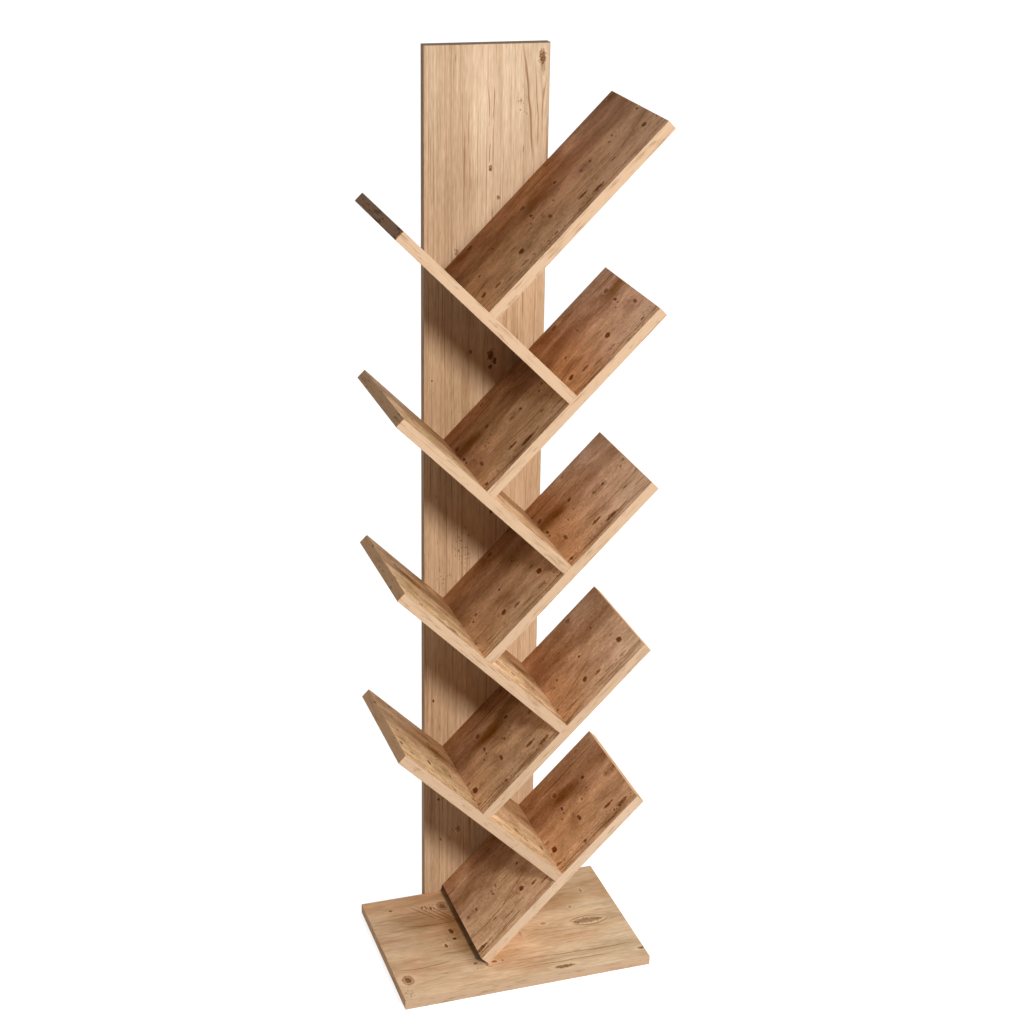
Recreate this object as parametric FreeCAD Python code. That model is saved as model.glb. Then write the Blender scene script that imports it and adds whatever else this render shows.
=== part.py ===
# Tree-shaped bookshelf: a tall trunk board, a base plate and nine square-ended shelves that rise to the
# right and to the left in turn, each butted on the middle of the one below.
# Millimetres, +Z up, +Y towards the wall. The origin is the middle of the footprint, on the floor.
import FreeCAD, Part
import math
import os

# Boards: wood-faced chipboard, all of one thickness.
board_thickness = 18.0
shelf_length = 400.0
shelf_depth = 250.0
trunk_width = 210.0
trunk_head = 80.0             # how far the trunk board stands above the highest shelf tip
base_width = 450.0
base_depth = 312.0

# Set-out of the shelves.
rise_angle = 45.0             # slope of the right-hand shelves; the left-hand ones stand square to them
right_shelf_count = 5
foot_offset = 58.0            # the lowest shelf stands on its corner, this far left of the middle
foot_clearance = 0.05         # between that corner and the base plate

# Edging strips glued round the cut edges that show.
edging_thickness = 1.0
edging_round_share = 0.8      # rounding of the outer edges, as a share of the strip's thickness
edging_joint = 0.05           # hairline joint between two strips at a corner

# Connecting screws: countersunk head with a hexagon socket, straight shank.
screw_diameter = 7.0
screw_length = 50.0
screw_head_diameter = 12.0
screw_head_height = 4.5
screw_socket_width = 4.0      # across the flats
screw_socket_depth = 3.0
screw_sink = 0.5              # the head lies this far below the back of the trunk board
screw_inset = 45.0            # from the ends of the stretch of shelf that lies on the trunk board
base_screw_inset = 30.0       # from the trunk board's sides
base_screw_count = 3
screw_clearance = 0.1

# Wooden dowels, one near the front of each butt joint; the trunk board holds the back.
dowel_diameter = 8.0
dowel_length = 30.0
dowel_face_share = 0.65       # how deep a dowel sits in a face, as a share of the board's thickness
dowel_inset = 50.0            # from the front edge of a shelf
dowel_clearance = 0.1         # all round a dowel
dowel_end_clearance = 0.5     # beyond each end of a dowel

overrun = 2.0                 # how far cuts reach past the faces that they open

V = FreeCAD.Vector

# Derived places.
edge_round = edging_thickness * edging_round_share
trunk_back = (base_depth + board_thickness) / 2
trunk_front = trunk_back - board_thickness
base_front = trunk_front - base_depth
shelf_front = trunk_front - shelf_depth
slope = math.radians(rise_angle)
right_rise = V(math.cos(slope), 0, math.sin(slope))
left_rise = V(-math.sin(slope), 0, math.cos(slope))
middle_start = (shelf_length - board_thickness) / 2
middle_end = (shelf_length + board_thickness) / 2
dowel_face_depth = board_thickness * dowel_face_share
dowel_end_depth = dowel_length - dowel_face_depth
socket_corner = screw_socket_width / 2 / math.cos(math.pi / 6)


def at(x, y, z):
    return FreeCAD.Placement(V(x, y, z), FreeCAD.Rotation())


def flat_board(length, depth, left_strip=True, right_strip=True):
    """A board lying flat, from its front left corner: the core and its edging strips.

    An end without a strip is bare and keeps its sharp edges.
    """
    strip = edging_thickness
    start = strip if left_strip else 0
    end = length - strip if right_strip else length
    blank = Part.makeBox(length, depth, board_thickness)
    rims = [edge for edge in blank.Edges if edge.BoundBox.ZLength < strip]
    if not left_strip:
        rims = [edge for edge in rims if edge.BoundBox.XMax > strip]
    if not right_strip:
        rims = [edge for edge in rims if edge.BoundBox.XMin < length - strip]
    blank = blank.makeFillet(edge_round, rims)
    core = Part.makeBox(end - start, depth - 2 * strip, board_thickness, V(start, strip, 0))
    side = Part.makeBox(length, strip, board_thickness)
    cross = Part.makeBox(strip, depth - 2 * (strip + edging_joint), board_thickness)
    strips = [blank.common(side), blank.common(side.translated(V(0, depth - strip, 0)))]
    if left_strip:
        strips.append(blank.common(cross.translated(V(0, strip + edging_joint, 0))))
    if right_strip:
        strips.append(blank.common(cross.translated(V(length - strip, strip + edging_joint, 0))))
    return core, Part.makeCompound([solid for piece in strips for solid in piece.Solids])


def screw_blank(grow=0, reach=0):
    """The screw's turned form along -Y from the middle of its head, or its hole when grown."""
    shank = screw_diameter / 2 + grow
    head = screw_head_diameter / 2 + grow
    end = -screw_length - reach
    profile = [V(head, 0, 0), V(shank, -screw_head_height, 0), V(shank, end, 0), V(0, end, 0), V(0, reach, 0)]
    if reach > 0:
        profile.append(V(head, reach, 0))
    profile.append(profile[0])
    return Part.Face(Part.makePolygon(profile)).revolve(V(0, 0, 0), V(0, 1, 0), 360)


def screw():
    corners = [math.radians(60 * corner) for corner in range(7)]
    hexagon = [V(socket_corner * math.cos(turn), 0, socket_corner * math.sin(turn)) for turn in corners]
    socket = Part.Face(Part.makePolygon(hexagon)).extrude(V(0, -screw_socket_depth, 0))
    return screw_blank().cut(socket)


def dowel():
    """A dowel along +Z, standing in the face at z = 0."""
    return Part.makeCylinder(dowel_diameter / 2, dowel_length, V(0, 0, -dowel_face_depth))


def dowel_hole(depth, direction):
    radius = dowel_diameter / 2 + dowel_clearance
    start = V(direction) * -overrun
    return Part.makeCylinder(radius, depth + dowel_end_clearance + overrun, start, direction)


def length_at(frame, x):
    """Distance along a shelf at which its middle plane crosses the upright line at x."""
    middle = frame.multVec(V(0, 0, board_thickness / 2))
    run = frame.Rotation.multVec(V(1, 0, 0))
    return (x - middle.x) / run.x


def shelf_screw_places(frame):
    """Head places of a shelf's two screws, in the shelf's own frame."""
    first = max(0, length_at(frame, -trunk_width / 2))
    last = min(shelf_length, length_at(frame, trunk_width / 2))
    head = shelf_depth + board_thickness - screw_sink
    return [at(along, head, board_thickness / 2) for along in (first + screw_inset, last - screw_inset)]


dowel_place = at(shelf_length / 2, dowel_inset, board_thickness)

# Where each shelf lies: its front corner, lower face, left-hand end, with X along it and Z out of its top.
right_turn = FreeCAD.Rotation(V(0, 1, 0), -rise_angle)
left_turn = FreeCAD.Rotation(V(0, 1, 0), 90 - rise_angle)
seat_drop = edge_round * (math.sin(slope) + math.cos(slope) - 1)
corner = V(-foot_offset, shelf_front, board_thickness + foot_clearance - seat_drop)
shelves = []
for number in range(1, right_shelf_count + 1):
    right_frame = FreeCAD.Placement(corner, right_turn)
    left_foot = corner + right_rise * middle_start + left_rise * board_thickness
    left_frame = FreeCAD.Placement(left_foot + left_rise * shelf_length, left_turn)
    highest = number == right_shelf_count
    right_butt = (0, V(1, 0, 0)) if number > 1 else None
    shelves.append(("right_shelf_%d" % number, right_frame, right_butt, not highest))
    if not highest:
        shelves.append(("left_shelf_%d" % number, left_frame, (shelf_length, V(-1, 0, 0)), True))
        corner = corner + (right_rise + left_rise) * middle_end
highest_tip = corner + right_rise * shelf_length + left_rise * board_thickness
trunk_height = highest_tip.z + trunk_head

parts = {}
shelf_screw_frames = []
dowel_solids = []

# Shelves: a butted end is bare and drilled for a dowel; a shelf that carries another has a hole in its top.
for name, frame, butt, carrying in shelves:
    left_strip = butt is None or butt[0] > 0
    right_strip = butt is None or butt[0] == 0
    core, edging = flat_board(shelf_length, shelf_depth, left_strip, right_strip)
    holes = []
    for place in shelf_screw_places(frame):
        holes.append(screw_blank(screw_clearance, overrun).transformed(place.toMatrix()))
        shelf_screw_frames.append(frame.multiply(place))
    if butt is not None:
        end, inward = butt
        holes.append(dowel_hole(dowel_end_depth, inward).translated(V(end, dowel_inset, board_thickness / 2)))
    if carrying:
        holes.append(dowel_hole(dowel_face_depth, V(0, 0, -1)).transformed(dowel_place.toMatrix()))
        dowel_solids.append(dowel().transformed(frame.multiply(dowel_place).toMatrix()))
    parts[name] = core.cut(holes).transformed(frame.toMatrix())
    parts[name + "_edging"] = edging.cut(holes).transformed(frame.toMatrix())

# Base plate: flat on the floor, its back edge screwed to the front of the trunk board.
base_frame = at(-base_width / 2, base_front, 0)
screw_span = trunk_width - 2 * base_screw_inset
base_screw_frames = []
base_core, base_edging = flat_board(base_width, base_depth)
base_core.Placement = base_frame
base_edging.Placement = base_frame
for number in range(base_screw_count):
    across = screw_span * (number / (base_screw_count - 1)) - screw_span / 2
    base_screw_frames.append(at(across, trunk_back - screw_sink, board_thickness / 2))
base_holes = [screw_blank(screw_clearance, overrun).transformed(f.toMatrix()) for f in base_screw_frames]
parts["base_plate"] = base_core.cut(base_holes)
parts["base_plate_edging"] = base_edging.cut(base_holes)

# Trunk board: stands on its bare lower end, drilled from the back for every screw.
upright = FreeCAD.Rotation(V(0, 0, 1), V(1, 0, 0), V(0, 1, 0), "XYZ")
trunk_frame = FreeCAD.Placement(V(-trunk_width / 2, trunk_front, 0), upright)
trunk_core, trunk_edging = flat_board(trunk_height, trunk_width, left_strip=False)
trunk_core.Placement = trunk_frame
trunk_edging.Placement = trunk_frame
screw_frames = shelf_screw_frames + base_screw_frames
trunk_holes = [screw_blank(screw_clearance, overrun).transformed(f.toMatrix()) for f in screw_frames]
parts["trunk_board"] = trunk_core.cut(trunk_holes)
parts["trunk_board_edging"] = trunk_edging

# Fasteners: one node for each kind.
one_screw = screw()
parts["shelf_screws"] = Part.makeCompound([one_screw.transformed(f.toMatrix()) for f in shelf_screw_frames])
parts["base_screws"] = Part.makeCompound([one_screw.transformed(f.toMatrix()) for f in base_screw_frames])
parts["shelf_dowels"] = Part.makeCompound(dowel_solids)

os.makedirs("parts", exist_ok=True)
for name, shape in parts.items():
    shape.exportStep("parts/" + name + ".step")
    print(name, len(shape.Solids), "solids", round(shape.Volume), "mm3", "valid", shape.isValid())
print("trunk height", round(trunk_height, 2))
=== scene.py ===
import math

import bpy
from mathutils import Matrix, Vector


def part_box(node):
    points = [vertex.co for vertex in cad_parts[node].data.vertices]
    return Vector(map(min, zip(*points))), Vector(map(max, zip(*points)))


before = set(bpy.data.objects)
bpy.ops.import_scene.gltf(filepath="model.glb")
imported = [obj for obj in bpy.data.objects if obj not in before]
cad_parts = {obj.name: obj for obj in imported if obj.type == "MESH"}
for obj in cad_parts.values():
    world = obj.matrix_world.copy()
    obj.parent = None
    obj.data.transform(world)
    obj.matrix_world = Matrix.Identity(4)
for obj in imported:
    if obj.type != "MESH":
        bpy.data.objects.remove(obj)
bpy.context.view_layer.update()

# Base plate: a chipboard panel faced with printed pine that lies flat on the floor, its grain from side to
# side. Its back edge is screwed to the trunk board and its cut edges are closed by glued edging strips.
board_thickness = 0.018
base_face = (0.815, 0.635, 0.42, 1)
base_line = (0.60, 0.345, 0.145, 1)
base_rose = (0.765, 0.525, 0.325, 1)
knot_tone = (0.27, 0.14, 0.04, 1)
crack_tone = (0.46, 0.28, 0.14, 1)
matt_lacquer = 0.03
shade_warmth = (1.0, 1.22, 1.5)
mix_share, mix_first, mix_second, mix_result = 0, 6, 7, 2    # the sockets of a node that mixes two colours


def new_material(name):
    """A material, its node tree and its shader."""
    material = bpy.data.materials.new(name)
    material.use_nodes = True
    return material, material.node_tree, material.node_tree.nodes["Principled BSDF"]


def add(tree, kind, inputs=None, **settings):
    """A shader node with its settings, each input given a value or linked to another node's output."""
    made = tree.nodes.new("ShaderNode" + kind)
    for name, value in settings.items():
        setattr(made, name, value)
    for socket, value in (inputs or {}).items():
        if isinstance(value, bpy.types.NodeSocket):
            tree.links.new(value, made.inputs[socket])
        else:
            made.inputs[socket].default_value = value
    return made


def calc(tree, operation, *values, clamp=False):
    return add(tree, "Math", dict(enumerate(values)), operation=operation, use_clamp=clamp).outputs[0]


def vector(tree, operation, *values):
    made = add(tree, "VectorMath", dict(enumerate(values)), operation=operation)
    return made.outputs["Value" if operation in ("LENGTH", "DOT_PRODUCT") else "Vector"]


def axes(tree, point):
    """A point's places along, across and through the board."""
    return add(tree, "SeparateXYZ", {0: point}).outputs


def fade(tree, value, start, end):
    """1 below start, falling smoothly to 0 at end."""
    inputs = {"Value": value, "From Min": start, "From Max": end, "To Min": 1.0, "To Max": 0.0}
    return add(tree, "MapRange", inputs, interpolation_type="SMOOTHSTEP").outputs[0]


def rise(tree, value, start, end):
    """0 at start, rising smoothly to 1 at end."""
    inputs = {"Value": value, "From Min": start, "From Max": end}
    return add(tree, "MapRange", inputs, interpolation_type="SMOOTHSTEP").outputs[0]


def blend(tree, share, first, second):
    inputs = {mix_share: share, mix_first: first, mix_second: second}
    return add(tree, "Mix", inputs, data_type="RGBA").outputs[mix_result]


def tint(tree, share, colour, tone):
    """The colour taken towards its product with a tone, as a stain darkens wood."""
    inputs = {mix_share: share, mix_first: colour, mix_second: tone}
    return add(tree, "Mix", inputs, data_type="RGBA", blend_type="MULTIPLY").outputs[mix_result]


def noise(tree, point, per_metre, detail=2.0, roughness=0.5):
    """Soft noise with its own fineness along, across and through the board."""
    stretched = vector(tree, "MULTIPLY", point, per_metre)
    inputs = {"Vector": stretched, "Scale": 1.0, "Detail": detail, "Roughness": roughness}
    return add(tree, "TexNoise", inputs).outputs[0]


def swing(tree, point, per_metre, width, detail=2.0):
    """Soft noise that swings about zero, over the width given."""
    return calc(tree, "MULTIPLY_ADD", noise(tree, point, per_metre, detail), width, -width / 2)


def new_group(name, takes, puts_out):
    tree = bpy.data.node_groups.new(name, "ShaderNodeTree")
    for socket, kind in takes.items():
        tree.interface.new_socket(socket, in_out="INPUT", socket_type="NodeSocket" + kind)
    for socket in puts_out:
        tree.interface.new_socket(socket, in_out="OUTPUT", socket_type="NodeSocketFloat")
    return tree, tree.nodes.new("NodeGroupInput").outputs, tree.nodes.new("NodeGroupOutput").inputs


def put_out(tree, gives, values):
    """Links a group's results to its outputs."""
    for socket, value in values.items():
        tree.links.new(value, gives[socket])


def use(tree, group, inputs):
    return add(tree, "Group", inputs, node_tree=group).outputs


# Pine figure of the decor paper: growth rings cut lengthwise, fibres, broad darker streaks, short fine
# cracks, soft patches and rosy tints. How fine each is counts per metre along, across and through the board.
sway_fineness, sway_width = (2.0, 12.0, 12.0), 0.010
ring_count = 13.0
ring_darkens, ring_breaks_off = (0.25, 0.9), (0.92, 1.0)
fibre_fineness = (6.0, 200.0, 200.0)
streak_fineness = (5.0, 90.0, 90.0)
crack_fineness, crack_range = (9.0, 340.0, 340.0), (0.62, 0.70)
patch_fineness = (7.0, 44.0, 44.0)
tint_fineness = (7.0, 30.0, 30.0)
pine_figure, given, gives = new_group(
    "pine_figure",
    {"Point": "Vector", "Ring Noise": "Vector"},
    ["Rings", "Fibres", "Streaks", "Cracks", "Patches", "Tints"],
)
sway = swing(pine_figure, given["Point"], sway_fineness, sway_width, detail=1.0)
sway = add(pine_figure, "CombineXYZ", {"Y": sway}).outputs[0]
swayed = vector(pine_figure, "ADD", given["Point"], sway)
height = noise(pine_figure, swayed, given["Ring Noise"], roughness=0.4)
ring = calc(pine_figure, "FRACT", calc(pine_figure, "MULTIPLY", height, ring_count))
late_wood = calc(pine_figure, "MULTIPLY", rise(pine_figure, ring, *ring_darkens),
                 fade(pine_figure, ring, *ring_breaks_off))
cracks = noise(pine_figure, swayed, crack_fineness, detail=1.0)
put_out(pine_figure, gives, {
    "Rings": late_wood,
    "Fibres": noise(pine_figure, swayed, fibre_fineness, detail=3.0, roughness=0.7),
    "Streaks": noise(pine_figure, swayed, streak_fineness, detail=3.0),
    "Cracks": rise(pine_figure, cracks, *crack_range),
    "Patches": noise(pine_figure, swayed, patch_fineness, detail=4.0, roughness=0.6),
    "Tints": noise(pine_figure, swayed, tint_fineness),
})

# Flecks of the decor paper: short dark dashes and specks strewn along the grain, one at most in each cell.
# Only a share of the cells has one, each with a size and a rough outline of its own.
least_fleck = 0.3
outline_fineness, outline_width = (300.0, 700.0, 1.0), 1.2
fleck_edge = (0.5, 1.1)
flecks, given, gives = new_group(
    "flecks",
    {"Point": "Vector", "Cell": "Vector", "Size": "Float", "Stretch": "Float", "Share": "Float"},
    ["Flecks"],
)
spread = vector(flecks, "DIVIDE", given["Point"], given["Cell"])
cells = add(flecks, "TexVoronoi", {"Vector": spread, "Scale": 1.0}, voronoi_dimensions="2D").outputs
away = vector(flecks, "SUBTRACT", spread, cells["Position"])
away = axes(flecks, vector(flecks, "MULTIPLY", away, given["Cell"]))
oval = {"X": calc(flecks, "DIVIDE", away[0], given["Stretch"]), "Y": away[1]}
oval = add(flecks, "CombineXYZ", oval).outputs[0]
chance = add(flecks, "SeparateColor", {0: cells["Color"]}).outputs
size = calc(flecks, "MULTIPLY_ADD", chance[0], 1 - least_fleck, least_fleck)
size = calc(flecks, "MULTIPLY", given["Size"], size)
far = calc(flecks, "DIVIDE", vector(flecks, "LENGTH", oval), size)
far = calc(flecks, "ADD", far, swing(flecks, given["Point"], outline_fineness, outline_width))
shown = calc(flecks, "LESS_THAN", chance[1], given["Share"])
put_out(flecks, gives, {"Flecks": calc(flecks, "MULTIPLY", fade(flecks, far, *fleck_edge), shown)})

# Print of the decor paper: knots with paler halos, lighter and darker places, veins and specks.
# An edge says over which distances a mark fades, counted in the mark's own half sizes.
# Some lighter and darker places given to it on the base and the trunk are painted light and shade.
ragged_fineness, ragged_depth, ragged_width = (190.0, 230.0, 1.0), 1.3, 0.006
knot_edge = (0.60, 1.12)
heart_width, heart_edge, heart_depth = 0.0095, (0.30, 1.15), 0.85
rim_edge, rim_depth = (0.06, 0.26), 0.50
halo_edge = (1.1, 2.0)
push_width, push_edge, push_share = 0.0038, (0.15, 1.0), -0.7
push_length_reach, push_width_reach = 7, 3
mottle_fineness, mottle_range = (260.0, 340.0, 1.0), (0.38, 0.60)
mottle_depth, mottle_least = 0.4, 0.75
shade_edge = (0.2, 1.0)
tear_fineness, tear_width = (16.0, 34.0, 1.0), 0.07
wave_fineness, wave_width = (9.0, 9.0, 1.0), 0.010
vein_core, vein_full_length = 1 / 3, 1 / 2
speck_edge = (0.3, 1.0)


def pine_print(name, repeat, knots, shades, planks, veins, specks):
    """One print of the decor paper, which repeats along the grain: a node group that tells where its knots,
    halos, shades, veins and specks lie, and how far knots push the grain aside.

    Each row starts with the place along and across the grain, in metres. Then come, for knots and shades,
    the half length, half width and strength, for veins the slope, bend, half length and half width, and for
    specks the half length and half width. A plank's row gives where its edge starts and ends across the
    grain, and its strength.
    """
    tree, given, gives = new_group(name, {"Point": "Vector"},
                                   ["Knots", "Halos", "Shade", "Veins", "Specks", "Push"])
    run_on, across, _ = axes(tree, given["Point"])
    along = calc(tree, "WRAP", run_on, repeat, 0.0)
    flat = add(tree, "CombineXYZ", {"X": along, "Y": across}).outputs[0]
    ragged = swing(tree, given["Point"], ragged_fineness, ragged_depth)

    def distance(place_along, place_across, half_length, half_width):
        away = vector(tree, "SUBTRACT", flat, (place_along, place_across, 0))
        return vector(tree, "LENGTH", vector(tree, "DIVIDE", away, (half_length, half_width, 1)))

    marks, halos, push = 0.0, 0.0, 0.0
    for *place, half_length, half_width, darkness in knots:
        rough = calc(tree, "MULTIPLY", ragged, min(1.0, ragged_width / half_width))
        far = calc(tree, "ADD", distance(*place, half_length, half_width), rough)
        if half_width > heart_width:
            rim = fade(tree, calc(tree, "ABSOLUTE", calc(tree, "SUBTRACT", far, 1.0)), *rim_edge)
            heart = calc(tree, "MULTIPLY", fade(tree, far, *heart_edge), heart_depth)
            mark = calc(tree, "MAXIMUM", heart, calc(tree, "MULTIPLY", rim, rim_depth))
        else:
            mark = fade(tree, far, *knot_edge)
        marks = calc(tree, "MAXIMUM", marks, calc(tree, "MULTIPLY", mark, darkness))
        if half_width > push_width:
            halos = calc(tree, "MAXIMUM", halos, fade(tree, far, *halo_edge))
            reach = (half_length * push_length_reach, half_width * push_width_reach)
            near = fade(tree, distance(*place, *reach), *push_edge)
            aside = calc(tree, "MULTIPLY", calc(tree, "SUBTRACT", across, place[1]), push_share)
            push = calc(tree, "ADD", push, calc(tree, "MULTIPLY", aside, near))
    mottles = rise(tree, noise(tree, given["Point"], mottle_fineness), *mottle_range)
    marks = calc(tree, "MULTIPLY", marks, calc(tree, "MULTIPLY_ADD", mottles, mottle_depth, mottle_least))
    shade = 0.0
    for *spot, amount in shades:
        shade = calc(tree, "MULTIPLY_ADD", fade(tree, distance(*spot), *shade_edge), amount, shade)
    torn = calc(tree, "ADD", across, swing(tree, given["Point"], tear_fineness, tear_width))
    for start, end, amount in planks:
        shade = calc(tree, "MULTIPLY_ADD", rise(tree, torn, start, end), amount, shade)
    wavy = calc(tree, "ADD", across, swing(tree, given["Point"], wave_fineness, wave_width))
    lines = 0.0
    for place_along, place_across, slope, bend, half_length, half_width in veins:
        run = calc(tree, "SUBTRACT", along, place_along)
        level = calc(tree, "MULTIPLY_ADD", calc(tree, "MULTIPLY_ADD", run, bend, slope), run, place_across)
        off = calc(tree, "ABSOLUTE", calc(tree, "SUBTRACT", wavy, level))
        line = calc(tree, "MULTIPLY", fade(tree, off, half_width * vein_core, half_width),
                    fade(tree, calc(tree, "ABSOLUTE", run), half_length * vein_full_length, half_length))
        lines = calc(tree, "MAXIMUM", lines, line)
    dirt = 0.0
    for spot in specks:
        dirt = calc(tree, "MAXIMUM", dirt, fade(tree, distance(*spot), *speck_edge))
    put_out(tree, gives, {"Knots": marks, "Halos": halos, "Shade": shade, "Veins": lines, "Specks": dirt,
                          "Push": push})
    return tree


other_side_shift = 0.137
noise_mean = 0.5
ring_mean, ring_depth = 0.25, 0.32
fibre_depth = 1.9
lined_share, plain_share = 0.65, 0.45
streak_range, streak_depth = (0.5, 0.72), 0.45
line_least = 0.16
blush_depth, rosy_range = 0.24, (0.48, 0.74)
halo_lift = 0.10
vein_depth, crack_depth = 0.75, 0.7
front_reach, front_fineness, front_range = 0.040, (16.0, 300.0, 1.0), (0.53, 0.63)
strewn_specks = {"Cell": (0.007, 0.0055, 1.0), "Size": 0.0016, "Stretch": 1.6, "Share": 0.5}
strewn_dashes = {"Cell": (0.080, 0.028, 1.0), "Size": 0.0015, "Stretch": 6.0, "Share": 0.35}
speck_depth, dash_depth, knot_depth = 0.75, 0.4, 1.3
lacquer_roughness, fibre_roughness = 0.46, 0.18
board_relief, board_relief_height = 0.25, 0.0004


def board_point(tree, place, turn):
    """A surface point's place along, across and through a board, from its front left corner."""
    settings = {"Vector": add(tree, "TexCoord").outputs["Object"], "Location": place, "Rotation": turn}
    return add(tree, "Mapping", settings, vector_type="TEXTURE").outputs[0]


def pine_board(name, place, turn, seed, colours, design, print_start=(0, 0), print_scale=(1, 1),
               print_depth=1.25, line_depth=0.48, patch_depth=1.1, pore_depth=0.7,
               pore_count=(170.0, 320.0, 320.0), grain_scale=(3.0, 1.0, 1.0), blush=(0.095, 0.180),
               shown_face=board_thickness, streaks=0.8, lined=None, ring_noise=(0.4, 13.0, 13.0), pale=None):
    """Printed pine for one board: place is its front left corner and turn gives its grain's direction.

    print_start and print_scale say where the print begins on it and how large it is. shown_face is the height
    of the face that shows the print as it is written; the other face has it shifted. The depths are how
    strong its shades, lines, patches and pores are, grain_scale how close these lie, and streaks how strong
    the dark streaks along its front are. Across the grain it turns rosy over blush and loses lines over
    lined, and along the grain it takes on the tone of pale between two places.
    """
    face, line, rose = colours
    material, tree, shader = new_material(name)
    shader.inputs["Specular IOR Level"].default_value = matt_lacquer
    point = board_point(tree, place, turn)
    along, _, through = axes(tree, point)
    off_face = calc(tree, "ABSOLUTE", calc(tree, "SUBTRACT", through, shown_face))
    other_side = calc(tree, "GREATER_THAN", off_face, board_thickness / 2)
    shift = add(tree, "CombineXYZ", {"X": calc(tree, "MULTIPLY", other_side, other_side_shift)}).outputs[0]
    printed = vector(tree, "SUBTRACT", point, (*print_start, 0))
    printed = vector(tree, "ADD", vector(tree, "DIVIDE", printed, (*print_scale, 1)), shift)
    across = axes(tree, printed)[1]
    shown = use(tree, design, {"Point": printed})
    push = add(tree, "CombineXYZ", {"Y": shown["Push"]}).outputs[0]
    warped = vector(tree, "ADD", vector(tree, "ADD", printed, push), seed)
    grain = vector(tree, "MULTIPLY", warped, grain_scale)
    figure = use(tree, pine_figure, {"Point": grain, "Ring Noise": ring_noise})

    rings = calc(tree, "MULTIPLY", calc(tree, "SUBTRACT", figure["Rings"], ring_mean), ring_depth)
    fibres = calc(tree, "MULTIPLY", calc(tree, "SUBTRACT", figure["Fibres"], noise_mean), fibre_depth)
    depth = calc(tree, "ADD", rings, fibres)
    if lined is not None:
        share = calc(tree, "MULTIPLY_ADD", fade(tree, across, *lined), lined_share, plain_share)
        depth = calc(tree, "MULTIPLY", depth, share)
    broad = calc(tree, "MULTIPLY", rise(tree, figure["Streaks"], *streak_range), streak_depth)
    depth = calc(tree, "MULTIPLY", calc(tree, "ADD", depth, broad), line_depth)
    depth = calc(tree, "ADD", depth, line_least, clamp=True)
    rosy = calc(tree, "MULTIPLY_ADD", rise(tree, across, *blush), blush_depth, figure["Tints"])
    colour = blend(tree, rise(tree, rosy, *rosy_range), face, rose)
    colour = blend(tree, depth, colour, line)

    patches = calc(tree, "SUBTRACT", figure["Patches"], noise_mean)
    lift = calc(tree, "MULTIPLY_ADD", patches, patch_depth, 1.0)
    pores = calc(tree, "SUBTRACT", noise(tree, warped, pore_count, detail=1.0), noise_mean)
    lift = calc(tree, "MULTIPLY_ADD", pores, pore_depth, lift)
    lift = calc(tree, "MULTIPLY_ADD", shown["Halos"], halo_lift, lift)
    lift = calc(tree, "MULTIPLY", lift, calc(tree, "MULTIPLY_ADD", shown["Shade"], print_depth, 1.0))
    change = {0: shade_warmth, "Scale": calc(tree, "SUBTRACT", lift, 1.0)}
    change = add(tree, "VectorMath", change, operation="SCALE").outputs[0]
    colour = vector(tree, "MULTIPLY", colour, vector(tree, "ADD", change, (1, 1, 1)))
    # On the shelves and the trunk the tone of pale is painted light: they are lighter where more light falls.
    if pale is not None:
        tone, start, end = pale
        colour = tint(tree, rise(tree, along, start, end), colour, (*tone, 1))

    veins = calc(tree, "MULTIPLY", shown["Veins"], vein_depth)
    cracks = calc(tree, "MULTIPLY", figure["Cracks"], line_depth * crack_depth)
    stain = calc(tree, "MAXIMUM", veins, cracks)
    if streaks > 0:
        near = fade(tree, across, front_reach / 2, front_reach)
        dark = rise(tree, noise(tree, warped, front_fineness, detail=3.0), *front_range)
        front = calc(tree, "MULTIPLY", calc(tree, "MULTIPLY", near, dark), streaks)
        stain = calc(tree, "MAXIMUM", stain, front)
    colour = tint(tree, stain, colour, crack_tone)
    specks = use(tree, flecks, {"Point": warped, **strewn_specks})["Flecks"]
    dashes = use(tree, flecks, {"Point": warped, **strewn_dashes})["Flecks"]
    dirt = calc(tree, "MULTIPLY", calc(tree, "MULTIPLY", specks, shown["Specks"]), speck_depth)
    dirt = calc(tree, "MAXIMUM", dirt, calc(tree, "MULTIPLY", dashes, dash_depth))
    dirt = calc(tree, "MAXIMUM", dirt, calc(tree, "MULTIPLY", shown["Knots"], knot_depth), clamp=True)
    colour = tint(tree, dirt, colour, knot_tone)
    tree.links.new(colour, shader.inputs["Base Color"])
    roughness = calc(tree, "MULTIPLY_ADD", figure["Fibres"], fibre_roughness, lacquer_roughness)
    tree.links.new(roughness, shader.inputs["Roughness"])
    relief = calc(tree, "SUBTRACT", figure["Fibres"], calc(tree, "MAXIMUM", dirt, stain))
    relief = {"Strength": board_relief, "Distance": board_relief_height, "Height": relief}
    tree.links.new(add(tree, "Bump", relief).outputs[0], shader.inputs["Normal"])
    return material


def dress(node, material):
    """Gives a CAD node's object one material all over."""
    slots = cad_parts[node].data.materials
    slots.clear()
    slots.append(material)


edging_cream = (0.70, 0.475, 0.305, 1)
edging_line = (0.64, 0.56, 0.46, 1)
edging_end = (0.80, 0.48, 0.26, 1)
edging_reach = 0.0011
strip_line_fineness, strip_line_range = (26.0, 26.0, 380.0), (0.48, 0.85)
strip_cloud_fineness, strip_cloud_width = (22.0, 22.0, 80.0), 0.6
strip_streak_fineness, strip_streak_range, strip_streak_depth = (45.0, 45.0, 190.0), (0.62, 0.74), 0.5
smear_fineness, smear_rise = (40.0, 40.0, 190.0), 0.10
few_smears = 0.63
strip_dirt_depth = 0.7
strip_roughness, strip_line_roughness = 0.46, 0.15
strip_relief, strip_relief_height = 0.15, 0.0003


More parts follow.
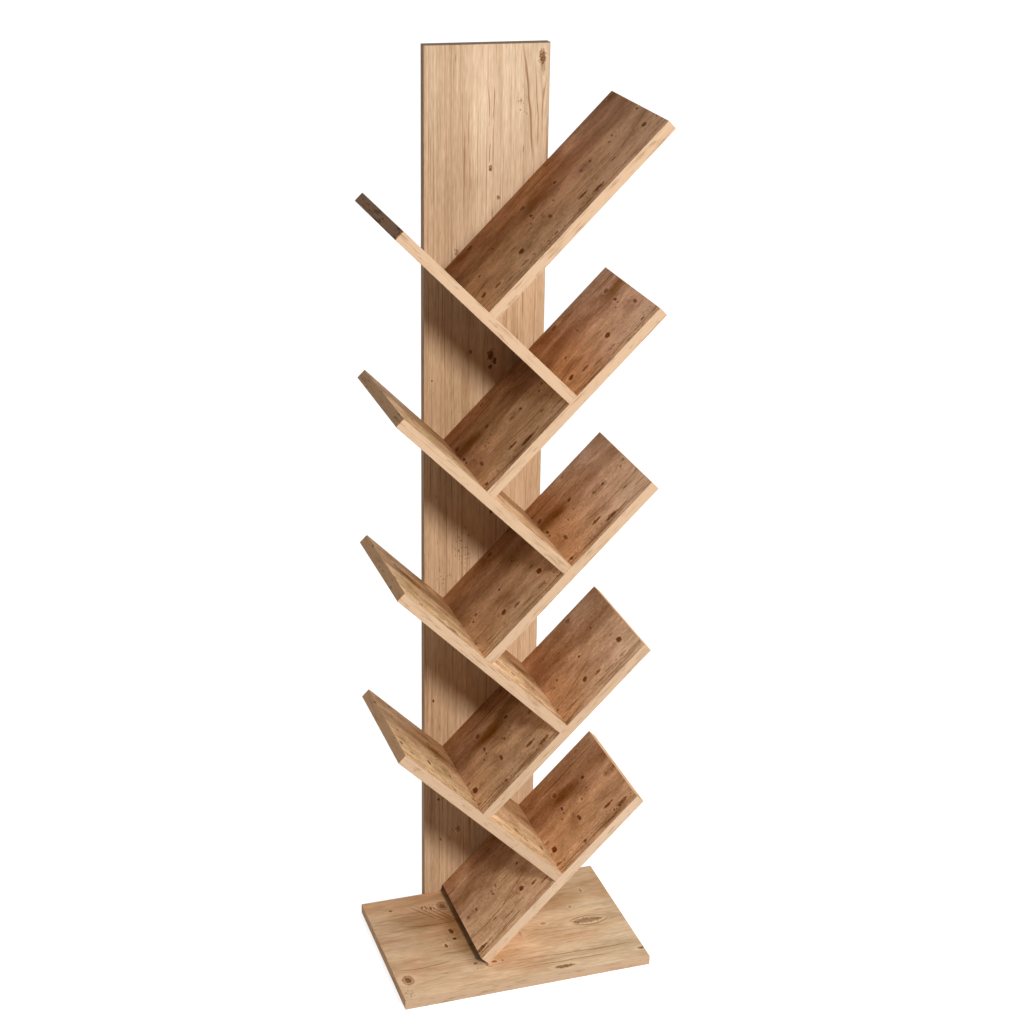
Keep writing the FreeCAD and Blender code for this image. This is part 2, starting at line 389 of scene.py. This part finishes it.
def pine_edging(name, place, turn, seed, length, face=edging_cream, first_end=edging_end, last_end=edging_end,
                smear_start=few_smears):
    """Edging strips of one board: pale pine print with faint lines along the strip and a few dark streaks.

    The strips that close the board's two ends have colours of their own, and smears.
    """
    material, tree, shader = new_material(name)
    shader.inputs["Specular IOR Level"].default_value = matt_lacquer
    point = board_point(tree, place, turn)
    from_middle = calc(tree, "SUBTRACT", axes(tree, point)[0], length / 2)
    at_end = calc(tree, "GREATER_THAN", calc(tree, "ABSOLUTE", from_middle), length / 2 - edging_reach)
    end = blend(tree, calc(tree, "GREATER_THAN", from_middle, 0.0), first_end, last_end)
    point = vector(tree, "ADD", point, seed)
    lines = noise(tree, point, strip_line_fineness, detail=3.0, roughness=0.6)
    cloud = swing(tree, point, strip_cloud_fineness, strip_cloud_width)
    depth = rise(tree, calc(tree, "ADD", lines, cloud), *strip_line_range)
    colour = tint(tree, depth, blend(tree, at_end, face, end), edging_line)
    streaks = rise(tree, noise(tree, point, strip_streak_fineness), *strip_streak_range)
    smears = rise(tree, noise(tree, point, smear_fineness), smear_start, smear_start + smear_rise)
    smears = calc(tree, "MULTIPLY", smears, at_end)
    dirt = calc(tree, "MAXIMUM", calc(tree, "MULTIPLY", streaks, strip_streak_depth), smears)
    colour = tint(tree, calc(tree, "MULTIPLY", dirt, strip_dirt_depth), colour, knot_tone)
    tree.links.new(colour, shader.inputs["Base Color"])
    roughness = calc(tree, "MULTIPLY_ADD", lines, strip_line_roughness, strip_roughness)
    tree.links.new(roughness, shader.inputs["Roughness"])
    relief = {"Strength": strip_relief, "Distance": strip_relief_height, "Height": lines}
    tree.links.new(add(tree, "Bump", relief).outputs[0], shader.inputs["Normal"])
    return material


base_low, base_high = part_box("base_plate_edging")
base_width = base_high.x - base_low.x
base_turn = (0, 0, 0)
base_seed = (0.3, 0.2, 0)
base_knots = [
    (0.020, 0.057, 0.0095, 0.0125, 0.95),
    (0.140, 0.262, 0.0090, 0.0120, 0.80),
    (0.133, 0.179, 0.0045, 0.0090, 0.80),
    (0.132, 0.155, 0.0042, 0.0042, 0.95),
    (0.112, 0.138, 0.0034, 0.0060, 0.85),
    (0.382, 0.140, 0.0270, 0.0092, 0.50),
    (0.400, 0.139, 0.0110, 0.0060, 0.55),
    (0.362, 0.139, 0.0090, 0.0056, 0.55),
    (0.295, 0.016, 0.0200, 0.0050, 0.65),
    (0.445, 0.028, 0.0080, 0.0045, 0.65),
    (0.045, 0.274, 0.0040, 0.0030, 0.65),
    (0.103, 0.268, 0.0026, 0.0055, 0.65),
    (0.118, 0.262, 0.0024, 0.0060, 0.65),
    (0.250, 0.135, 0.0030, 0.0120, 0.40),
    (0.300, 0.153, 0.0060, 0.0045, 0.40),
    (0.365, 0.190, 0.0035, 0.0050, 0.45),
    (0.402, 0.236, 0.0030, 0.0070, 0.45),
    (0.180, 0.066, 0.0060, 0.0040, 0.65),
    (0.165, 0.060, 0.0030, 0.0030, 0.70),
    (0.147, 0.070, 0.0040, 0.0030, 0.60),
]
base_shades = [
    (0.090, 0.225, 0.070, 0.050, -0.20),
    # Partly print, partly painted shadow around the foot of the lowest right-hand shelf.
    (0.195, 0.095, 0.075, 0.070, -0.26),
    (0.135, 0.140, 0.045, 0.080, -0.10),
    # Painted shadow along the foot of the lowest right-hand shelf.
    (0.150, 0.180, 0.036, 0.160, -0.30),
    (0.160, 0.040, 0.030, 0.020, 0.10),
    (0.330, 0.215, 0.100, 0.050, -0.20),
    (0.430, 0.180, 0.050, 0.030, 0.04),
    (0.060, 0.115, 0.080, 0.030, 0.08),
    (0.350, 0.080, 0.130, 0.030, 0.03),
    (0.095, 0.060, 0.040, 0.020, -0.10),
]
base_planks = [
    (0.110, 0.240, -0.12),
]
base_veins = [
    (0.330, 0.052, -0.03, 0.0, 0.130, 0.0016),
    (0.300, 0.031, -0.02, 0.0, 0.110, 0.0015),
    (0.127, 0.240, -1.60, 0.0, 0.026, 0.0034),
    (0.140, 0.232, -1.80, 0.0, 0.024, 0.0032),
    (0.114, 0.244, -1.50, 0.0, 0.024, 0.0030),
    (0.100, 0.250, -1.30, 0.0, 0.022, 0.0028),
    (0.100, 0.208, -0.10, 2.0, 0.060, 0.0015),
    (0.388, 0.126, 0.05, 8.0, 0.046, 0.0022),
    (0.385, 0.154, -0.05, -8.0, 0.046, 0.0020),
    (0.060, 0.085, 0.05, 3.0, 0.060, 0.0014),
]
base_specks = [
    (0.012, 0.018, 0.020, 0.024),
    (0.115, 0.265, 0.024, 0.016),
    (0.380, 0.140, 0.040, 0.020),
    (0.190, 0.068, 0.026, 0.014),
    (0.120, 0.150, 0.020, 0.024),
    (0.155, 0.055, 0.024, 0.014),
]
base_print = pine_print("base_print", base_width + other_side_shift, base_knots, base_shades, base_planks,
                        base_veins, base_specks)
base_material = pine_board(
    "pine_base_plate", base_low, base_turn, base_seed, (base_face, base_line, base_rose), base_print,
    print_depth=1.0,
    line_depth=0.38,
    patch_depth=0.9,
    pore_depth=0.4,
    pore_count=(60.0, 300.0, 300.0),
    grain_scale=(0.9, 0.6, 0.6),
    blush=(0.10, 0.34),
    streaks=0,
    pale=((1.20, 1.10, 1.06), 0.30, 0.12),
)
dress("base_plate", base_material)
dress("base_plate_edging", pine_edging("edging_base_plate", base_low, base_turn, (0, 0, 0), base_width))

# Trunk board: one tall panel of the same pine print that stands on the floor behind the base plate, its grain
# upright. It carries every shelf on screws driven through it from behind.
trunk_face = (0.70, 0.495, 0.31, 1)
trunk_line = (0.42, 0.25, 0.125, 1)
trunk_rose = (0.67, 0.455, 0.28, 1)
# Painted shade: the trunk's side strips are a darker copy of the edging colour, because its left side faces
# away from the lamp.
trunk_side_shade = (0.52, 0.345, 0.22, 1)
trunk_top = (0.30, 0.20, 0.13, 1)
trunk_low, trunk_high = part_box("trunk_board_edging")
trunk_height = trunk_high.z - trunk_low.z
trunk_turn = Matrix(((0, 1, 0), (0, 0, 1), (1, 0, 0))).to_euler()
trunk_seed = (1.7, 0.4, 0.9)
trunk_strip_seed = (0.7, 0.2, 0.1)
trunk_knots = [
    (1.552, 0.197, 0.0140, 0.0064, 0.70),
    (1.540, 0.199, 0.0160, 0.0040, 0.35),
    (1.377, 0.112, 0.0055, 0.0036, 0.65),
    (1.328, 0.126, 0.0045, 0.0030, 0.60),
    (1.060, 0.116, 0.0100, 0.0058, 0.75),
    (1.050, 0.123, 0.0080, 0.0042, 0.75),
    (1.040, 0.116, 0.0060, 0.0036, 0.70),
    (1.068, 0.081, 0.0040, 0.0024, 0.70),
    (1.023, 0.014, 0.0022, 0.0016, 0.70),
    (0.776, 0.121, 0.0042, 0.0034, 0.80),
    (0.215, 0.027, 0.0032, 0.0024, 0.90),
    (0.420, 0.017, 0.0042, 0.0022, 0.85),
    (0.130, 0.031, 0.0030, 0.0020, 0.70),
    (0.146, 0.065, 0.0080, 0.0040, 0.45),
    (1.240, 0.057, 0.0070, 0.0030, 0.40),
]
# Painted light and shade: the trunk is darker about its middle height, among the shelves, more so along its
# right side there, and lighter near its top.
trunk_shades = [
    (1.300, 0.035, 0.120, 0.030, -0.05),
    (1.500, 0.105, 0.170, 0.130, 0.10),
    (0.980, 0.105, 0.300, 0.300, -0.12),
    (0.950, 0.175, 0.320, 0.070, -0.08),
]
trunk_planks = [
    (0.072, 0.088, 0.10),
]
trunk_veins = [
    (1.480, 0.1775, -0.11, -0.28, 0.11, 0.0024),
    (1.470, 0.191, -0.06, -0.30, 0.08, 0.0011),
    (1.480, 0.1165, 0.03, 0.0, 0.030, 0.0011),
    (1.480, 0.1085, -0.04, 0.0, 0.030, 0.0011),
    (1.402, 0.1115, 0.0, 0.0, 0.020, 0.0012),
    (1.290, 0.115, 0.0, 0.0, 0.025, 0.0011),
]
trunk_specks = [
    (1.470, 0.164, 0.040, 0.014),
    (1.552, 0.197, 0.022, 0.012),
    (1.240, 0.057, 0.016, 0.012),
    (1.058, 0.118, 0.020, 0.016),
    (0.715, 0.070, 0.060, 0.026),
    (0.650, 0.040, 0.036, 0.028),
    (0.935, 0.075, 0.050, 0.030),
    (0.140, 0.060, 0.020, 0.018),
]
trunk_print = pine_print("trunk_print", trunk_height + other_side_shift, trunk_knots, trunk_shades,
                         trunk_planks, trunk_veins, trunk_specks)
trunk_material = pine_board(
    "pine_trunk_board", trunk_low, trunk_turn, trunk_seed, (trunk_face, trunk_line, trunk_rose), trunk_print,
    print_depth=1.0,
    line_depth=0.82,
    patch_depth=0.5,
    pore_depth=0.45,
    pore_count=(45.0, 420.0, 420.0),
    grain_scale=(0.45, 1.0, 1.0),
    blush=(0.100, 0.060),
    shown_face=0,
    streaks=0,
    lined=(0.070, 0.100),
    ring_noise=(1.3, 26.0, 26.0),
    # Painted light: paler and a little bluer towards its top.
    pale=((1.0, 1.02, 1.07), 1.00, 1.30),
)
dress("trunk_board", trunk_material)
# The trunk's side strips take the painted shade.
dress("trunk_board_edging", pine_edging("edging_trunk_board", trunk_low, trunk_turn, trunk_strip_seed,
                                        trunk_height, trunk_side_shade, last_end=trunk_top))

# Right-hand shelves: five equal panels that rise to the right, each but the lowest butted on the middle of
# the left-hand shelf below it. Their grain runs up the slope, and one print runs on from shelf to shelf, with
# darker streaks along the front.
shelf_face = (0.80, 0.505, 0.28, 1)
shelf_line = (0.46, 0.235, 0.10, 1)
shelf_rose = (0.72, 0.425, 0.25, 1)
# Painted shade and light on the lowest shelf's edging: the strip at its lower end faces down to the left,
# into shadow, and is near black-brown. Its long strips are a lighter copy of the edging cream.
foot_shade_brown = (0.14, 0.055, 0.02, 1)
lowest_lit_cream = (0.80, 0.57, 0.385, 1)
shelf_colours = (shelf_face, shelf_line, shelf_rose)
shelf_length = 0.400
shelf_slope = math.pi / 4
print_repeat = 0.362
shelf_knots = [
    (0.014, 0.060, 0.0055, 0.0075, 0.85),
    (0.040, 0.046, 0.0075, 0.0050, 0.65),
    (0.104, 0.069, 0.0060, 0.0090, 0.95),
    (0.157, 0.139, 0.0030, 0.0065, 0.80),
    (0.156, 0.125, 0.0022, 0.0036, 0.75),
    (0.147, 0.116, 0.0018, 0.0036, 0.65),
    (0.159, 0.185, 0.0052, 0.0080, 0.60),
    (0.175, 0.082, 0.0036, 0.0095, 0.70),
    (0.168, 0.102, 0.0040, 0.0110, 0.35),
    (0.222, 0.161, 0.0046, 0.0056, 0.70),
    (0.198, 0.116, 0.0022, 0.0045, 0.60),
    (0.217, 0.131, 0.0018, 0.0036, 0.50),
    (0.272, 0.117, 0.0150, 0.0115, 0.40),
    (0.262, 0.116, 0.0050, 0.0050, 0.60),
    (0.282, 0.116, 0.0036, 0.0056, 0.75),
    (0.232, 0.046, 0.0115, 0.0050, 0.75),
    (0.255, 0.022, 0.0145, 0.0060, 0.70),
    (0.160, 0.020, 0.0050, 0.0042, 0.70),
    (0.093, 0.030, 0.0100, 0.0050, 0.45),
    (0.060, 0.029, 0.0120, 0.0030, 0.40),
    (0.031, 0.124, 0.0032, 0.0042, 0.75),
    (0.055, 0.233, 0.0062, 0.0060, 0.55),
    (0.240, 0.235, 0.0055, 0.0042, 0.45),
    (0.336, 0.123, 0.0030, 0.0050, 0.55),
    (0.324, 0.112, 0.0026, 0.0036, 0.60),
    (0.305, 0.055, 0.0052, 0.0030, 0.60),
    (0.078, 0.162, 0.0026, 0.0042, 0.60),
    (0.098, 0.098, 0.0065, 0.0036, 0.40),
    (0.330, 0.033, 0.0160, 0.0028, 0.45),
]
shelf_shades = [
    (0.180, 0.165, 0.055, 0.026, -0.22),
    (0.035, 0.232, 0.035, 0.022, -0.14),
    (0.290, 0.225, 0.030, 0.030, 0.18),
    (0.090, 0.050, 0.026, 0.016, 0.16),
    (0.075, 0.080, 0.035, 0.012, 0.14),
    (0.165, 0.085, 0.022, 0.030, -0.16),
    (0.215, 0.100, 0.050, 0.028, 0.10),
    (0.225, 0.014, 0.055, 0.018, -0.26),
    (0.029, 0.090, 0.028, 0.026, -0.16),
    (0.265, 0.137, 0.035, 0.008, 0.14),
    (0.181, 0.018, 0.900, 0.042, 0.18),
]
shelf_planks = [
    (0.124, 0.164, -0.28),
    (0.190, 0.197, 0.10),
    (0.203, 0.211, -0.09),
]
shelf_veins = [
    (0.295, 0.062, 0.0, 1.5, 0.10, 0.0016),
    (0.000, 0.078, 0.40, 0.0, 0.05, 0.0020),
    (0.350, 0.073, 0.40, 0.0, 0.03, 0.0018),
    (0.200, 0.213, 0.0, 0.0, 0.08, 0.0022),
    (0.130, 0.013, 0.0, 0.0, 0.16, 0.0020),
    (0.300, 0.012, 0.0, 0.0, 0.06, 0.0018),
]
shelf_specks = [
    (0.088, 0.175, 0.024, 0.030),
    (0.222, 0.172, 0.012, 0.016),
    (0.272, 0.117, 0.020, 0.018),
    (0.205, 0.122, 0.020, 0.016),
    (0.170, 0.018, 0.190, 0.030),
    (0.330, 0.118, 0.024, 0.016),
]
shelf_print = pine_print("shelf_print", print_repeat, shelf_knots, shelf_shades, shelf_planks, shelf_veins,
                         shelf_specks)
right_turn = (0, -shelf_slope, 0)
right_count = 5
right_seed_step = (0.53, 0.31, 0.2)
right_print_step = 0.210
right_streaks = [0.8, 0.8, 0.8, 0.8, 0.4]
# Painted light: each right-hand shelf is lighter between two places along it, where more light falls. This is
# at the lower end of the lowest, at the tips of the middle three, which also take a bluish painted reflection
# of the white surroundings, and over all but the lower end of the highest.
right_painted_light = [
    ((1.28, 1.26, 1.28), 0.24, 0.12),
    ((1.10, 1.26, 1.50), 0.20, 0.36),
    ((1.22, 1.45, 1.85), 0.22, 0.36),
    ((1.24, 1.50, 1.95), 0.22, 0.36),
    ((1.28, 1.18, 1.20), 0.05, 0.25),
]
for number in range(1, right_count + 1):
    name = "right_shelf_%d" % number
    low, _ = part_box(name + "_edging")
    place = Vector((low.x + board_thickness * math.sin(shelf_slope), low.y, low.z))
    seed = tuple(step * number for step in right_seed_step)
    start = (right_print_step * (right_count - number), 0)
    dress(name, pine_board("pine_" + name, place, right_turn, seed, shelf_colours, shelf_print, start,
                           streaks=right_streaks[number - 1], pale=right_painted_light[number - 1]))
    # The lowest shelf's edging takes the painted shade at its lower end and the lighter, painted-light cream.
    cream, lower_end = (lowest_lit_cream, foot_shade_brown) if number == 1 else (edging_cream, edging_end)
    dress(name + "_edging", pine_edging("edging_" + name, place, right_turn, seed, shelf_length, cream,
                                        lower_end))

# Left-hand shelves: four panels like the right-hand ones that rise to the left. Each stands on the middle of
# a right-hand shelf and carries the next one on its own middle. Their colours are a lighter copy of the
# right-hand shelves' colours: painted light on tops that face the lamp.
left_lit_face = (0.81, 0.55, 0.31, 1)
left_lit_line = (0.51, 0.28, 0.125, 1)
left_lit_rose = (0.74, 0.46, 0.265, 1)
left_lit_colours = (left_lit_face, left_lit_line, left_lit_rose)
# Painted shade: the upper end strip of the highest left-hand shelf faces up to the left, away from the lamp,
# and gets a darker copy of the end colour.
highest_end_shade = (0.46, 0.25, 0.135, 1)
more_smears = 0.55
left_turn = (0, shelf_slope, 0)
left_count = 4
left_seed_step = (0.71, 0.43, 0.2)
left_print_step = 0.209
left_print_scale = (0.807, 1)
# Painted light: the left-hand shelves are lighter still towards their upper ends.
left_painted_light = ((1.12, 1.16, 1.15), 0.30, 0.12)
for number in range(1, left_count + 1):
    name = "left_shelf_%d" % number
    low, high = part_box(name + "_edging")
    place = Vector((low.x, low.y, high.z - board_thickness * math.cos(shelf_slope)))
    seed = tuple(step * number for step in left_seed_step)
    start = (left_print_step * (number - 1), 0)
    dress(name, pine_board("pine_" + name, place, left_turn, seed, left_lit_colours, shelf_print, start,
                           left_print_scale, pale=left_painted_light))
    upper_end, smear_start = (highest_end_shade, more_smears) if number == left_count else (edging_end, few_smears)
    dress(name + "_edging", pine_edging("edging_" + name, place, left_turn, seed, shelf_length,
                                        first_end=upper_end, smear_start=smear_start))

# Dowels: turned beech pegs glued into the butt joints, out of sight between two shelves.
# Their grain runs along the peg.
beech_light = (0.72, 0.50, 0.31, 1)
beech_dark = (0.56, 0.36, 0.20, 1)
beech_fineness = (400.0, 60.0, 400.0)
beech_roughness, beech_line_roughness = 0.5, 0.2
beech, tree, shader = new_material("beech_dowel")
lines = noise(tree, add(tree, "TexCoord").outputs["Object"], beech_fineness)
tree.links.new(blend(tree, lines, beech_light, beech_dark), shader.inputs["Base Color"])
roughness = calc(tree, "MULTIPLY_ADD", lines, beech_line_roughness, beech_roughness)
tree.links.new(roughness, shader.inputs["Roughness"])
dress("shelf_dowels", beech)

# Screws: zinc-plated countersunk steel with a hexagon socket, driven just below the back of the trunk board.
# The plating is a little dulled and blotchy.
zinc_bright = (0.72, 0.73, 0.74, 1)
zinc_dull = (0.55, 0.56, 0.58, 1)
bloom_fineness = (900.0, 900.0, 900.0)
zinc_roughness, bloom_roughness = 0.22, 0.25
zinc, tree, shader = new_material("zinc_plated_steel")
shader.inputs["Metallic"].default_value = 1.0
bloom = noise(tree, add(tree, "TexCoord").outputs["Object"], bloom_fineness)
tree.links.new(blend(tree, bloom, zinc_bright, zinc_dull), shader.inputs["Base Color"])
roughness = calc(tree, "MULTIPLY_ADD", bloom, bloom_roughness, zinc_roughness)
tree.links.new(roughness, shader.inputs["Roughness"])
dress("shelf_screws", zinc)
dress("base_screws", zinc)

# Floor: a wide sheet of pale matt studio paper that the bookshelf stands on. It is white to the camera and
# still takes the bookshelf's soft shadow.
floor_size = 60.0
floor_grey = (0.6, 0.6, 0.6, 1)
floor_roughness = 0.9
floor_glow = 0.8
white = (1, 1, 1, 1)
reach = floor_size / 2
floor_mesh = bpy.data.meshes.new("floor")
floor_corners = [(-reach, -reach, 0), (reach, -reach, 0), (reach, reach, 0), (-reach, reach, 0)]
floor_mesh.from_pydata(floor_corners, [], [(0, 1, 2, 3)])
floor = bpy.data.objects.new("floor", floor_mesh)
bpy.context.scene.collection.objects.link(floor)
paper, tree, shader = new_material("floor_paper")
shader.inputs["Base Color"].default_value = floor_grey
shader.inputs["Roughness"].default_value = floor_roughness
shader.inputs["Emission Color"].default_value = white


def seen_rays(tree):
    """1 for rays from the camera, straight or by way of a reflection, 0 for rays that light other things."""
    rays = add(tree, "LightPath").outputs
    reflected = calc(tree, "MAXIMUM", rays["Is Glossy Ray"], rays["Is Transmission Ray"])
    return calc(tree, "MAXIMUM", rays["Is Camera Ray"], reflected)


tree.links.new(calc(tree, "MULTIPLY", seen_rays(tree), floor_glow), shader.inputs["Emission Strength"])
floor_mesh.materials.append(paper)

# Studio light: one soft lamp in front, a little to the right and above the bookshelf, and broad weak light
# from the right, from behind and from the left.
side_lights = [((1, 0, 0), 1.75), ((0, 1, 0), 1.1), ((-1, 0, 0), 0.24)]
world = bpy.data.worlds.new("studio")
world.use_nodes = True
tree = world.node_tree
direction = add(tree, "TexCoord").outputs["Generated"]
level = 0.0
for axis, strength in side_lights:
    facing = calc(tree, "MAXIMUM", vector(tree, "DOT_PRODUCT", direction, axis), 0.0)
    level = calc(tree, "MULTIPLY_ADD", calc(tree, "MULTIPLY", facing, facing), strength, level)
background = tree.nodes["Background"]
seen = seen_rays(tree)
hidden_level = calc(tree, "MULTIPLY", level, calc(tree, "SUBTRACT", 1.0, seen))
tree.links.new(calc(tree, "ADD", hidden_level, seen), background.inputs["Strength"])
background.inputs["Color"].default_value = white
bpy.context.scene.world = world

lamp_place = Vector((0.50, -2.99, 1.92))
lamp_target = Vector((0, 0, 0.8))
lamp_width = 0.55
lamp_power = 80.0
lamp = bpy.data.lights.new("key_lamp", "AREA")
lamp.shape = "DISK"
lamp.size = lamp_width
lamp.energy = lamp_power
key = bpy.data.objects.new("key_lamp", lamp)
key.location = lamp_place
key.rotation_euler = (lamp_target - lamp_place).to_track_quat("-Z", "Y").to_euler()
bpy.context.scene.collection.objects.link(key)

# Camera: from the upper left in front, as the photograph was taken, with a long lens, shifted a little.
# Its focal length and the middle of its view are in pixels of the picture.
picture_width = 1024
focal_pixels = 2000.0
middle_x, middle_y = 600.0, 542.0
sensor_width = 36.0
camera_place = Vector((-0.95579, -2.92682, 2.09387))
camera_yaw, camera_pitch, camera_roll = 0.36544, 0.40213, 0.03634
lens = bpy.data.cameras.new("camera")
lens.sensor_width = sensor_width
lens.lens = sensor_width * focal_pixels / picture_width
lens.shift_x = (picture_width / 2 - middle_x) / picture_width
lens.shift_y = (middle_y - picture_width / 2) / picture_width
camera = bpy.data.objects.new("camera", lens)
aim = Matrix.Rotation(-camera_yaw, 4, "Z") @ Matrix.Rotation(math.pi / 2 - camera_pitch, 4, "X")
camera.matrix_world = Matrix.Translation(camera_place) @ aim @ Matrix.Rotation(camera_roll, 4, "Z")
bpy.context.scene.collection.objects.link(camera)
bpy.context.scene.camera = camera
bpy.context.scene.view_settings.view_transform = "Standard"
